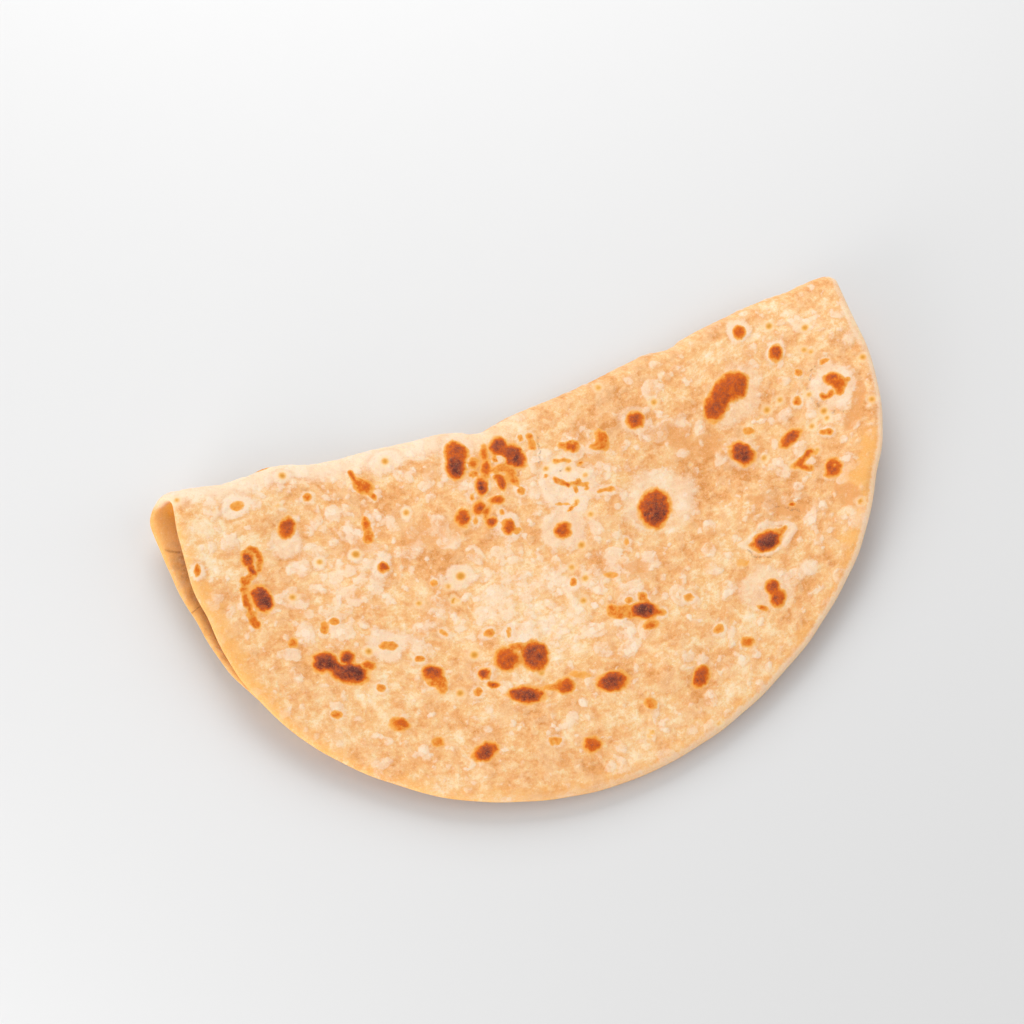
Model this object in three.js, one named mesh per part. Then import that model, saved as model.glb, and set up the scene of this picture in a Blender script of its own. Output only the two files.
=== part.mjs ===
// A chapati: a thin round wheat flatbread off a hot griddle, folded once in half and laid down flat.
// It is one sheet of dough and one closed solid. The fold is a soft open bend, tighter on the right
// than on the left, and the two short ends of the folded bread curl up a little from the table.
//
// Millimetres, +Z up. +X runs along the fold, +Y from the round open edge to the fold. The upper
// layer shows, the lower layer lies under it and is pushed a little to the left.
// The origin is the middle of the bread's box at its base.

import * as THREE from "three";

// ---- Driving dimensions -------------------------------------------------------------------------

const BREAD_RADIUS = 106; // of the unfolded bread, so the fold is about 210 long
const DOUGH_THICKNESS = 2.2;
const DOUGH_COLOUR = 0xf4c28e;
const DOUGH_ROUGHNESS = 0.75;

// The rim isn't a true circle: its radius swells by these parts of BREAD_RADIUS, at one to four
// waves a turn. The sine terms at one wave make the upper half deeper than the lower one.
const RIM_COSINES = [0.031, -0.043, 0.009, -0.021];
const RIM_SINES = [0.055, 0.008, 0.008, 0.006];
// Shallow dents in the rim: direction and half width in degrees, and depth.
const RIM_DENTS = [
  { towards: 8.5, width: 5.5, depth: 1.3 },
  { towards: 37, width: 5, depth: 1.1 },
  { towards: 155, width: 7, depth: 1 },
  { towards: 175, width: 11.5, depth: 1.5 },
  { towards: -159, width: 12.5, depth: 1.7 },
];

// The bend at the fold, as the radius of the middle of the sheet.
const BEND_RADIUS = 3.2;
const BEND_DEPTH_RATIO = 1.15; // depth along Y against height along Z
const LEFT_BEND_OPENING = 1.4; // added to the radius at the left end
const LEFT_OPENING_START = 40; // from the middle of the fold
const LEFT_OPENING_LENGTH = 65;

const LAYER_GAP = 0.9; // between the two layers, away from the fold
const GAP_FALL_LENGTH = 28; // over which the bend closes to that gap
const GAP_FALL_POWER = 1.5;

// The fold bows: its height along Y is a curve in the place along the fold over BREAD_RADIUS.
const FOLD_BOW = [0, 8.3, 21.8, 3.4, -17.4];
// Soft bumps (+) and dents (-) in the line of the fold: place along it, size, half width.
const FOLD_BUMPS = [
  { at: -78, out: -1.5, width: 8 },
  { at: -63, out: 1.4, width: 6 },
  { at: -32, out: 0.9, width: 11 },
  { at: -15, out: 1.1, width: 6.5 },
  { at: -6, out: -2.7, width: 8 },
  { at: 45, out: 1.1, width: 18 },
  { at: 55, out: -1.7, width: 5 },
  { at: 93, out: -0.9, width: 7 },
];
const FOLD_BUMP_REACH = 16; // from the fold, over which they die away

const LOWER_LAYER_SHIFT = 7.1; // to the left
const FLAT_HALF_LENGTH = 35; // the middle of the bread lies flat on the table
const LEFT_END_LIFT = 8;
const RIGHT_END_LIFT = 7.1;

// The upper layer isn't flat: broad shallow waves, and blisters that steam puffed up.
const WAVES = [
  { height: 0.3, length: 96, heading: 20, start: 40 },
  { height: 0.22, length: 61, heading: 115, start: 190 },
  { height: 0.14, length: 43, heading: 70, start: 300 },
];
const WAVE_FADE = 22; // from the fold to where the waves reach their full height
const BLISTERS = [
  { along: 58, across: 57, radius: 12, rise: 0.9 },
  { along: 96, across: 20, radius: 9, rise: 1.0 },
  { along: 88, across: 66, radius: 8, rise: 0.8 },
  { along: 61, across: 20, radius: 9, rise: 0.6 },
  { along: 17, across: 43, radius: 13, rise: 0.7 },
  { along: -20, across: 68, radius: 12, rise: 0.7 },
  { along: -52, across: 40, radius: 11, rise: 0.6 },
  { along: -72, across: 16, radius: 9, rise: 0.7 },
  { along: 22, across: 88, radius: 11, rise: 0.7 },
];

// The rim thins to a soft round lip.
const RIM_THICKNESS_PART = 0.72;
const RIM_THINNING_WIDTH = 5;
const LIP_REACH = 0.8;

// Faces: rows run along the fold, closer together where the sheet bends.
const COLUMNS = 42;
const BEND_ROWS = 12;
const BEND_ROWS_REACH = 9; // on each side of the fold line
const LAYER_ROWS = 14; // on each side, from there to the rim

// ---- Small helpers ------------------------------------------------------------------------------

const radians = THREE.MathUtils.degToRad;

function ease(t) {
  const c = THREE.MathUtils.clamp(t, 0, 1);
  return c * c * (3 - 2 * c);
}

function hump(distance, width) {
  return Math.exp(-((distance / width) ** 2));
}

// ---- The sheet, unfolded ------------------------------------------------------------------------
// A point of the sheet is { along, across }: along the fold line, and away from it on the dough,
// plus on the upper layer and minus on the lower one.

function rimRadius(angle) {
  const swell = (terms, wave) =>
    terms.reduce((sum, term, i) => sum + term * wave((i + 1) * angle), 0);
  const dents = RIM_DENTS.reduce((sum, dent) => {
    const aside = THREE.MathUtils.radToDeg(angle) - dent.towards;
    return sum + dent.depth * hump(aside - 360 * Math.round(aside / 360), dent.width);
  }, 0);
  return BREAD_RADIUS * (1 + swell(RIM_COSINES, Math.cos) + swell(RIM_SINES, Math.sin)) - dents;
}

// A square's point (u, v from -1 to 1) goes to the round sheet, so that rows and columns reach the
// whole rim without a pole.
function onSheet(u, v) {
  const x = u * Math.sqrt(1 - (v * v) / 2);
  const y = v * Math.sqrt(1 - (u * u) / 2);
  const radius = rimRadius(Math.atan2(y, x));
  return { along: radius * x, across: radius * y, fromRim: radius * (1 - Math.hypot(x, y)) };
}

// ---- The sheet, folded --------------------------------------------------------------------------

function foldBow(along) {
  const w = along / BREAD_RADIUS;
  return FOLD_BOW.reduce((sum, term, power) => sum + term * w ** power, 0);
}

function foldBumps(along, past) {
  const fade = hump(past, FOLD_BUMP_REACH);
  return FOLD_BUMPS.reduce((sum, b) => sum + fade * b.out * hump(along - b.at, b.width), 0);
}

function endLift(x) {
  const past = (Math.abs(x) - FLAT_HALF_LENGTH) / (BREAD_RADIUS - FLAT_HALF_LENGTH);
  const full = x < 0 ? LEFT_END_LIFT : RIGHT_END_LIFT;
  return full * Math.max(0, past) ** 2;
}

function waves(x, y) {
  return WAVES.reduce((sum, wave) => {
    const heading = radians(wave.heading);
    const way = (x * Math.cos(heading) + y * Math.sin(heading)) / wave.length;
    return sum + wave.height * Math.sin(2 * Math.PI * way + radians(wave.start));
  }, 0);
}

// The middle of the sheet's thickness.
function middle({ along, across }) {
  const opening = LEFT_BEND_OPENING * ease((-along - LEFT_OPENING_START) / LEFT_OPENING_LENGTH);
  const rise = BEND_RADIUS + opening;
  const depth = rise * BEND_DEPTH_RATIO;
  const bendLength = (Math.PI * (rise + depth)) / 2;
  const turn = THREE.MathUtils.clamp(across / bendLength, -0.5, 0.5) * Math.PI;
  const past = Math.max(0, Math.abs(across) - bendLength / 2);

  const x = along - LOWER_LAYER_SHIFT * (1 - ease(across / bendLength + 0.5));
  const y = foldBow(along) + foldBumps(along, past) + depth * Math.cos(turn) - past;
  let z = DOUGH_THICKNESS / 2 + rise * (1 + Math.sin(turn));
  if (across > bendLength / 2) {
    const closed = DOUGH_THICKNESS + LAYER_GAP;
    const gap = closed + (2 * rise - closed) * Math.exp(-((past / GAP_FALL_LENGTH) ** GAP_FALL_POWER));
    z = DOUGH_THICKNESS / 2 + gap + waves(x, y) * ease(past / WAVE_FADE);
  }
  return new THREE.Vector3(x, y, z + endLift(x));
}

// Which way the outside of the bread faces: up on the upper layer, down on the lower one.
function outward({ along, across }) {
  const step = 0.4;
  const alongStep = middle({ along: along + step, across }).sub(middle({ along: along - step, across }));
  const acrossStep = middle({ along, across: across + step }).sub(
    middle({ along, across: across - step }),
  );
  return acrossStep.cross(alongStep).normalize();
}

function blisterRise({ along, across }) {
  return BLISTERS.reduce((sum, b) => {
    const distance = Math.hypot(along - b.along, across - b.across) / b.radius;
    return sum + b.rise * (1 - ease(distance));
  }, 0);
}

// ---- The solid ----------------------------------------------------------------------------------

function rowPlaces() {
  const bendEdge = BEND_ROWS_REACH / BREAD_RADIUS;
  const upper = [];
  for (let i = 1; i <= BEND_ROWS / 2; i += 1) upper.push((bendEdge * i) / (BEND_ROWS / 2));
  for (let i = 1; i <= LAYER_ROWS; i += 1) upper.push(bendEdge + ((1 - bendEdge) * i) / LAYER_ROWS);
  return [...upper.map((v) => -v).reverse(), 0, ...upper];
}

// One column of the rim for each point round it, from its outer face over the lip to the inner one.
function rimLoop(columns, rows) {
  const loop = [];
  for (let i = 0; i < columns; i += 1) loop.push([i, 0]);
  for (let j = 0; j < rows; j += 1) loop.push([columns, j]);
  for (let i = columns; i > 0; i -= 1) loop.push([i, rows]);
  for (let j = rows; j > 0; j -= 1) loop.push([0, j]);
  return loop;
}

function breadGeometry() {
  const rows = rowPlaces();
  const lastRow = rows.length - 1;
  const points = [];
  const faces = [];
  const quad = (a, b, c, d) => faces.push(a, b, c, a, c, d);

  const sheetAt = (i, j) => onSheet((2 * i) / COLUMNS - 1, rows[j]);
  const layerSize = (COLUMNS + 1) * rows.length;
  const outer = (i, j) => j * (COLUMNS + 1) + i;
  const inner = (i, j) => outer(i, j) + layerSize;

  // The outer face first, then the inner face.
  for (const side of [1, -1]) {
    for (let j = 0; j <= lastRow; j += 1) {
      for (let i = 0; i <= COLUMNS; i += 1) {
        const place = sheetAt(i, j);
        const thinning = 1 - ease(place.fromRim / RIM_THINNING_WIDTH);
        const half = (DOUGH_THICKNESS / 2) * (1 - (1 - RIM_THICKNESS_PART) * thinning);
        const relief = side > 0 ? blisterRise(place) : 0;
        points.push(middle(place).addScaledVector(outward(place), side * half + relief));
      }
    }
  }

  // The lip, a little further out than both.
  const loop = rimLoop(COLUMNS, lastRow);
  const lipStart = points.length;
  for (const [i, j] of loop) {
    const place = sheetAt(i, j);
    const reach = 1 + LIP_REACH / BREAD_RADIUS;
    points.push(middle({ along: place.along * reach, across: place.across * reach }));
  }

  // Each cell is split so that no corner of the rim makes a sliver.
  for (let j = 0; j < lastRow; j += 1) {
    for (let i = 0; i < COLUMNS; i += 1) {
      const rising = i < COLUMNS / 2 === j < lastRow / 2;
      const out = [outer(i, j), outer(i, j + 1), outer(i + 1, j + 1), outer(i + 1, j)];
      const back = [inner(i, j), inner(i + 1, j), inner(i + 1, j + 1), inner(i, j + 1)];
      const turned = rising ? 0 : 1;
      quad(...out.slice(turned), ...out.slice(0, turned));
      quad(...back.slice(turned), ...back.slice(0, turned));
    }
  }
  loop.forEach(([i, j], k) => {
    const next = (k + 1) % loop.length;
    const [i2, j2] = loop[next];
    quad(outer(i, j), outer(i2, j2), lipStart + next, lipStart + k);
    quad(lipStart + k, lipStart + next, inner(i2, j2), inner(i, j));
  });

  const geometry = new THREE.BufferGeometry().setFromPoints(points);
  geometry.setIndex(faces);
  geometry.computeVertexNormals();
  return geometry;
}

// Moves a geometry so that its box stands on z = 0 with its middle over the origin.
function standAtOrigin(geometry) {
  geometry.computeBoundingBox();
  const { min, max } = geometry.boundingBox;
  geometry.translate(-(min.x + max.x) / 2, -(min.y + max.y) / 2, -min.z);
  return geometry;
}

function griddledDough() {
  return new THREE.MeshStandardMaterial({
    name: "griddled_dough",
    color: DOUGH_COLOUR,
    roughness: DOUGH_ROUGHNESS,
    metalness: 0,
  });
}

const chapati = new THREE.Mesh(standAtOrigin(breadGeometry()), griddledDough());
chapati.name = "chapati";

const bread = new THREE.Group();
bread.add(chapati);

export default bread;
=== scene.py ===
"""A folded chapati: a thin wheat flatbread off the griddle, lying on a pale table.

The bread is one sheet of dough. It is rolled out flat as a grid, gets its thickness, and is then
folded, puffed and scorched by functions of its own unfolded coordinates: `along` runs along the
fold line and `across` away from it, both in millimetres, with `across` above zero on the upper layer.
"""

import math
from functools import partial

import bpy
import numpy as np
from bpy.props import FloatProperty, FloatVectorProperty, IntProperty, PointerProperty, StringProperty
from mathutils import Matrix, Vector


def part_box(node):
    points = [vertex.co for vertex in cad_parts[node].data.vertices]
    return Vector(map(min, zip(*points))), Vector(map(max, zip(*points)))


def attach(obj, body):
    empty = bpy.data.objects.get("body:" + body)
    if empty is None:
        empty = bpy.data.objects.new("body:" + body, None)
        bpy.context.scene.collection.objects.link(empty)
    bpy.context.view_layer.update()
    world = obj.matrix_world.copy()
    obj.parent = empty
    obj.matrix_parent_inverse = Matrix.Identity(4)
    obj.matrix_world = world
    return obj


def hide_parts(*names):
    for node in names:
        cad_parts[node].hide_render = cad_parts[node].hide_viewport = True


bl_info = {
    "name": "Folded Chapati",
    "version": (1, 0, 0),
    "blender": (4, 5, 0),
    "location": "3D View > Sidebar > Chapati",
    "description": "Builds a folded griddle-baked wheat flatbread and its stage",
    "category": "Object",
}

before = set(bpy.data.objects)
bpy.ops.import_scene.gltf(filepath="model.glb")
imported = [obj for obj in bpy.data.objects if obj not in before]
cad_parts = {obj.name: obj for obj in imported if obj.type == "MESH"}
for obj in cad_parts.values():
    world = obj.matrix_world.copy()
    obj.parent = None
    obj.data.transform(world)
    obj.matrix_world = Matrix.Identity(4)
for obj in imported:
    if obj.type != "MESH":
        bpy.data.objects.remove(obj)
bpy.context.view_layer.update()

NODE = "chapati"
MM = 0.001

# ---- The dough's shape, in millimetres ----------------------------------------------------------

BREAD_RADIUS = 106.0
RIM_COSINES = (0.031, -0.043, 0.009, -0.021)
RIM_SINES = (0.055, 0.008, 0.008, 0.006)
RIM_DENTS = (  # direction and half width in degrees, and depth
    (8.5, 5.5, 1.3),
    (37, 5, 1.1),
    (155, 7, 1),
    (175, 11.5, 1.5),
    (-159, 12.5, 1.7),
)
RIM_RAGGED, RIM_RAGS = 0.35, 9.0  # how ragged the rim is, and how fine its rags are
LIP_REACH = 0.8
RIM_ROUNDING = 1.8
RIM_LEAST = 0.03  # the square of the part of the thickness that is left at the very rim

BEND_RADIUS = 3.2
BEND_DEPTH_RATIO = 1.15
LEFT_BEND_OPENING = 1.4
LEFT_OPENING_START = 40.0
LEFT_OPENING_LENGTH = 65.0

LAYER_GAP = 0.9
GAP_FALL_LENGTH = 28.0
GAP_FALL_POWER = 1.5

FOLD_BOW = (0.0, 8.3, 21.8, 3.4, -17.4)
FOLD_BUMPS = (  # place along the fold, how far out, half width
    (-78, -1.5, 8),
    (-63, 1.4, 6),
    (-32, 0.9, 11),
    (-15, 1.1, 6.5),
    (-6, -2.7, 8),
    (45, 1.1, 18),
    (55, -1.7, 5),
    (93, -0.9, 7),
)
FOLD_BUMP_REACH = 16.0

LOWER_LAYER_SHIFT = 7.1
FLAT_HALF_LENGTH = 35.0
LEFT_END_LIFT = 8.0
RIGHT_END_LIFT = 7.1

WAVES = (  # height, length, heading and start in degrees
    (0.3, 96, 20, 40),
    (0.22, 61, 115, 190),
    (0.14, 43, 70, 300),
)
WAVE_FADE = 22.0
BLISTERS = (  # along, across, radius, rise
    (58, 57, 12, 0.9),
    (96, 20, 9, 1.0),
    (88, 66, 8, 0.8),
    (61, 20, 9, 0.6),
    (17, 43, 13, 0.7),
    (-20, 68, 12, 0.7),
    (-52, 40, 11, 0.6),
    (-72, 16, 9, 0.7),
    (22, 88, 11, 0.7),
)

# The sheet's grid: rows run along the fold, closer together at the bend and on the upper layer.
COLUMNS = 316
LOWER_ROWS = 62
BEND_ROWS = 24
UPPER_ROWS = 166
BEND_ROWS_REACH = 9.0
FLAT_THICKNESS = 0.1  # of the sheet of two faces, before it is shaped
INSIDE_KEPT = 0.12  # part of the inner face's triangles that is kept
INSIDE_KEPT_WHOLE = 4.0  # and this near the rim all of them
INSIDE_THINNED_FIRST = 10.0  # how much sooner the inner face's triangles go than others
ORIGIN_COLUMNS, ORIGIN_ROWS = 160, 220  # of the coarse sheet that finds the bread's place

# ---- Scorch marks on the upper layer, in millimetres --------------------------------------------
# Each is along, across, half length, half width, turn in degrees, and how dark, from 0 to 1.

SCORCHES = (
    # Left end
    (-78, 11, 1.5, 1.2, 0, 0.28), (-66.6, 21.3, 2.8, 2, -65, 0.8),
    (-59, 13.5, 1.1, 0.8, -55, 0.5), (-92.5, 27.5, 1.3, 0.7, -80, 0.5),
    (-73, 54.8, 1.1, 1, -75, 0.56), (-66, 1.5, 1.6, 0.9, 0, 0.36),
    # Left tail
    (-79, 27.7, 2.3, 1.4, 85, 0.95), (-78.5, 31, 2.2, 0.9, 88, 0.84), (-79.3, 33, 1, 0.9, 0, 0.5),
    (-77.8, 40.3, 4.1, 2.3, 84, 0.92),
    # Middle left
    (-43.3, 12.4, 2.6, 1.8, 40, 0.6), (-41.4, 16, 1, 0.6, 70, 0.45),
    (-45.5, 24.3, 2.2, 1, -85, 0.52), (-45.9, 27.5, 1.5, 1.3, -70, 0.55),
    (-44.4, 37.5, 1.4, 1.3, -70, 0.8), (-32.5, 45, 0.8, 0.7, -70, 0.36),
    (-61, 50.7, 1, 0.8, 0, 0.4), (-64, 52, 1.5, 0.8, -75, 0.44), (-49, 60.5, 1.9, 1, 10, 0.34),
    (-34, 60, 1.1, 0.6, 60, 0.28),
    # Front left cluster
    (-66.3, 61.9, 3, 2.9, 0, 0.96), (-64.5, 63.5, 2.1, 1.9, 0, 0.95),
    (-60.4, 61.7, 1.9, 1.8, 0, 0.92), (-60.8, 66.2, 4.6, 2.7, 18, 0.95),
    (-55.5, 65, 1.5, 1.2, 5, 0.6),
    # Front middle
    (-40, 70.6, 2.5, 2.2, 10, 0.82), (-42, 66, 1, 0.7, 10, 0.4),
    (-38.5, 74.5, 2.3, 1.3, -85, 0.55), (-41, 73.5, 1, 0.6, 35, 0.5),
    (-54, 72, 0.9, 0.8, -65, 0.35), (-30, 79, 1, 0.9, 15, 0.4), (-27, 74.5, 1.4, 1.4, 0, 0.95),
    (-25.5, 78, 1.3, 0.8, 15, 0.95), (-22.5, 63.5, 1.1, 1, 0, 0.35),
    (-17.5, 65, 1.2, 0.5, -75, 0.25),
    # Front pair
    (-20, 72.2, 3.1, 3, 0, 0.7), (-12.7, 73.6, 4.1, 3.3, -75, 0.84),
    (-16, 69.8, 2.8, 1, 15, 0.42), (-18, 83.5, 4.2, 2.3, 20, 0.9), (-7.7, 84.2, 2.3, 1.9, 0, 0.7),
    (-11, 83.5, 2.1, 0.8, 20, 0.38), (-3, 82.5, 2.1, 0.8, 25, 0.22),
    (4.5, 87.5, 4, 2.5, 10, 0.86),
    # Fold middle
    (-16, 9.3, 3.2, 2.9, -45, 0.74), (-17.2, 13.2, 3.7, 2.6, -75, 0.94),
    (-19.6, 28.7, 2.4, 1.8, -75, 0.76), (-4.2, 8.7, 2.9, 2.4, 90, 0.86),
    (-1.2, 13.6, 4.5, 2.6, 70, 0.86), (-8.5, 9.7, 2.6, 0.9, -75, 0.5),
    (-12, 13, 1.8, 1, -60, 0.5), (-9.3, 14.8, 3, 1.1, -75, 0.68), (-13, 16.5, 1.1, 0.9, -25, 0.5),
    (-6, 12, 1, 0.8, -80, 0.5), (-12, 20.6, 2.7, 1.5, -75, 0.96),
    (-6.5, 20.5, 2.4, 1.2, 90, 0.84), (-7, 18.3, 1.1, 1, 0, 0.66), (-6, 15.8, 1.8, 1.1, -20, 0.4),
    (-3.5, 17.5, 2.4, 1, 55, 0.42), (-3, 21, 2.2, 1, 75, 0.44), (-2, 25.5, 1, 0.8, 80, 0.45),
    (-9, 26, 1.8, 1.2, 10, 0.78), (-14.5, 27, 1.8, 1.5, -70, 0.74), (-13, 29, 1.5, 0.8, -55, 0.6),
    (-12.5, 32, 1.4, 1.3, 0, 0.84), (-15.5, 23.5, 0.8, 0.5, -70, 0.4),
    (-16.5, 30.5, 0.9, 0.5, -75, 0.3), (-9, 30, 0.6, 0.5, -80, 0.35),
    (-8.5, 34.8, 2, 1.6, -75, 0.68), (-6.5, 36.5, 0.9, 0.8, 0, 0.3),
    # Middle
    (5, 10.5, 1, 0.8, 65, 0.45), (5, 13, 1.6, 0.9, 90, 0.4), (2.5, 9.5, 0.7, 0.5, 65, 0.35),
    (15.5, 18.5, 1.9, 1.5, 30, 0.68), (24.3, 20, 3, 1.5, 85, 0.46),
    (22.5, 21.5, 1.8, 0.9, 25, 0.4), (5.5, 41, 2.1, 2.3, 0, 0.74), (3.5, 56.6, 1, 0.7, -75, 0.38),
    (21.7, 34.9, 1.1, 0.7, 20, 0.46), (19.8, 34.3, 0.7, 0.4, 0, 0.36),
    (18.6, 34.2, 0.5, 0.4, 0, 0.3), (14, 58.5, 1.4, 0.6, 25, 0.25),
    (16.2, 24.1, 0.7, 0.5, 0, 0.8), (8.2, 26.4, 0.9, 0.6, 60, 0.42),
    (9.6, 27.8, 1.2, 0.6, 45, 0.52), (10.8, 28.9, 0.7, 0.6, 0, 0.95),
    (13.4, 29.2, 1, 0.6, -30, 0.52), (12.5, 31.1, 0.9, 0.4, -75, 0.44),
    (15.4, 30.5, 0.8, 0.5, 0, 0.38), (15.5, 31.9, 0.6, 0.4, 0, 0.36),
    (9.6, 35.8, 1, 0.4, -30, 0.5), (5.9, 24, 0.5, 0.4, 0, 0.6),
    # Right
    (35, 19, 2.5, 2.2, 50, 0.8), (31.5, 45.5, 5.2, 4.4, -70, 0.86),
    (65.3, 22.7, 4.1, 3.8, -40, 0.71), (61.3, 23, 4, 3.6, -40, 0.72),
    (58.5, 25.5, 3.9, 3.4, -60, 0.74), (60.6, 42.3, 4, 2.7, 58, 0.9),
    (64.7, 37, 1.4, 0.8, 25, 0.4), (72.3, 8.6, 1.9, 1.6, 90, 0.68),
    (80, 19.3, 2.3, 1.8, -75, 0.76), (91.8, 33.9, 2, 1.7, 20, 0.78),
    (93.2, 35.9, 2.2, 1.8, 70, 0.64), (92.7, 38, 1.4, 1.1, -60, 0.56),
    (95.1, 36, 1, 0.7, 0, 0.38), (74.6, 44.9, 3.1, 1.8, -18, 0.76), (84, 47.9, 1, 0.6, 30, 0.46),
    (85.4, 48.6, 1, 0.7, 30, 0.54), (82.5, 59.2, 2.6, 2.2, -60, 0.76),
    (80.4, 60.4, 1.2, 0.8, 30, 0.42), (80.5, 35.6, 1.2, 1, 70, 0.52),
    (83.9, 28, 0.9, 0.8, 75, 0.42), (91.7, 27.8, 1, 0.6, 0, 0.33),
    # Right front
    (57.5, 69.7, 3.8, 2.8, 8, 0.94), (61.9, 69.1, 1.7, 0.8, -8, 0.38),
    (53.9, 68.6, 1.2, 0.7, 10, 0.7), (54, 82.5, 2, 1.8, -85, 0.82),
    (54.3, 86, 2.4, 2.1, 90, 0.74), (49.5, 86.5, 1.5, 0.5, 45, 0.5), (49, 72, 1.5, 0.8, 30, 0.18),
    (31.5, 74, 1.1, 0.8, 35, 0.3), (19.4, 72.2, 3.5, 2.2, 28, 1), (23, 74.5, 1.1, 0.8, 35, 0.42),
    (19.8, 67.8, 1.1, 1, 40, 0.5), (20, 70, 1.1, 0.9, 35, 0.5), (16, 67.5, 0.8, 0.7, 40, 0.3),
    (14.3, 69.3, 1.8, 0.8, 25, 0.45), (15.3, 71.5, 1.3, 0.9, 30, 0.5),
    (10.8, 68.2, 1.6, 1.2, -75, 0.5), (12, 70.3, 1.6, 1, 30, 0.5),
    (19.2, 76.7, 1.7, 1.1, 15, 0.56), (67.7, 63.2, 0.8, 0.4, 30, 0.9),
    (21, 51, 0.9, 0.6, -75, 0.22),
    # Front edge
    (-52, 83, 2.2, 1.7, 30, 0.6), (-44, 90, 1.3, 1.1, 0, 0.4), (-33, 96, 3.1, 2.2, -20, 0.85),
    (-15, 98, 1.2, 1, 0, 0.35), (-6, 102, 2.4, 1.9, 15, 0.7), (12, 97, 1.5, 1.1, 50, 0.45),
    (27, 96, 2.8, 2, -35, 0.8), (36, 86, 1.2, 1, 0, 0.35), (42, 93, 1.6, 1.3, 20, 0.55),
    (-67, 77, 1.1, 0.9, 0, 0.4),
)

SCORCH_AT_EDGE = 0.34  # how scorched the dough is at a mark's edge
SCORCH_RISE = 0.55  # this far inside it, a dark mark nears its full heat
PLATEAU_FROM, PLATEAU_RANGE = 0.5, 0.2  # darker marks are evenly dark inside, lighter ones peak
GLOW_REACH, GLOW_SPREAD = 1.2, 0.65  # how far the glow fades outside it, more for each mm of size
MARK_WINDOW, MARK_MARGIN = 1.3, 3.5  # a mark is worked out this many lengths and mm around it
SCORCH_LEAN = 0.12  # how much darker one side of a mark is than the other
SCORCH_WOBBLE, SCORCH_RAGGED = 0.5, 0.3  # how far a mark strays from an oval, and its rags in mm
WOBBLE_PART, WOBBLE_SIZE = 0.3, 4.0  # an outline's wobble for each mm of size, up to this size
MARK_BLEND = 0.12  # marks whose heat differs by less than this run into each other
DOMED_SIZE, FULL_DOME_SIZE = 1.2, 3.5  # marks past the first size stand proud, past the second fully
DOME_SKIRT = 1.0  # and rise from this far outside their edge
STREAK_UNEVEN, STREAK_PATCHY = 0.55, 0.45  # how a streak's width and heat change along it
STREAK_GAPS, STREAK_THINNED = 1.5, 0.3  # how a broken streak comes and goes
UNSCORCHED_PALER, UNSCORCHED_EDGE = 0.45, 0.5  # how much less dark a pale spot is, and its edge

# Seeded marks, on the faces that have none listed.
UNDERSIDE_MARKS, INNER_MARKS = 90, 60  # the second on each layer's inner face
SMALLEST_MARK, MARK_SIZES = 0.7, 3.6
LONGEST_MARK = 1.5  # length over width
LEAST_HEAT, MARK_HEATS = 0.25, 0.7
HEAT_LIMIT, HEAT_LIMIT_RISE = 0.35, 0.22  # a small mark stays light; each mm lets it be darker
BEND_CLEARANCE, RIM_CLEARANCE = 4.0, 6.0

# Thin scorched lines: width, how dark and how broken up, then the bends as along and across.
STREAKS = (
    (1.4, 0.48, 0.3, (-77.6, 24.7), (-76.2, 25.6), (-75.9, 28.5), (-76.7, 31.5)),
    (1.3, 0.42, 0.2, (-78.9, 25.6), (-77.6, 27)),
    (1.9, 0.56, 0.6, (-81, 33.8), (-81.6, 36.4), (-81.9, 40), (-81.8, 43), (-81.6, 45.5), (-80.6, 47.3)),
    (1.3, 0.5, 0.1, (-45.6, 7.6), (-45.2, 9.3), (-44.2, 11.4)),
    (0.8, 0.36, 0.4, (9.6, 20.7), (11.5, 21.2), (13.2, 22.2)),
    (0.6, 0.36, 0.8, (8.2, 26.3), (9.6, 27.7), (10.7, 28.9), (13.4, 29.2), (15.4, 30.5)),
    (0.5, 0.34, 0.5, (8.6, 36.1), (9.6, 35.7), (11.4, 35.1), (11.7, 34.3)),
    (0.5, 0.28, 0.6, (6.3, 33.1), (9.2, 34.2)),
    (1.6, 0.54, 0.1, (73.2, 53.3), (74.2, 53.2), (76.1, 52.5), (78.4, 51.3)),
    (0.8, 0.34, 0.1, (78.3, 51.3), (79.7, 52.6)),
    (1.2, 0.5, 0.1, (74.2, 53.4), (74.8, 54.7), (75.9, 55.9), (76.7, 56.2)),
    (1.5, 0.42, 0.3, (12.5, 17), (15.5, 18)),
    (1.2, 0.5, 0.1, (87.6, 37.4), (88.2, 38.5), (89.3, 38.5), (90.2, 37.7)),
)

# Spots inside the marks that stayed pale: along, across, half length, half width and turn.
UNSCORCHED = (
    (83, 58.7, 0.6, 0.5, 0),
    (92.4, 34.6, 0.5, 0.4, 0),
    (-4.6, 12.6, 1.6, 0.9, 65),
)

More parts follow.
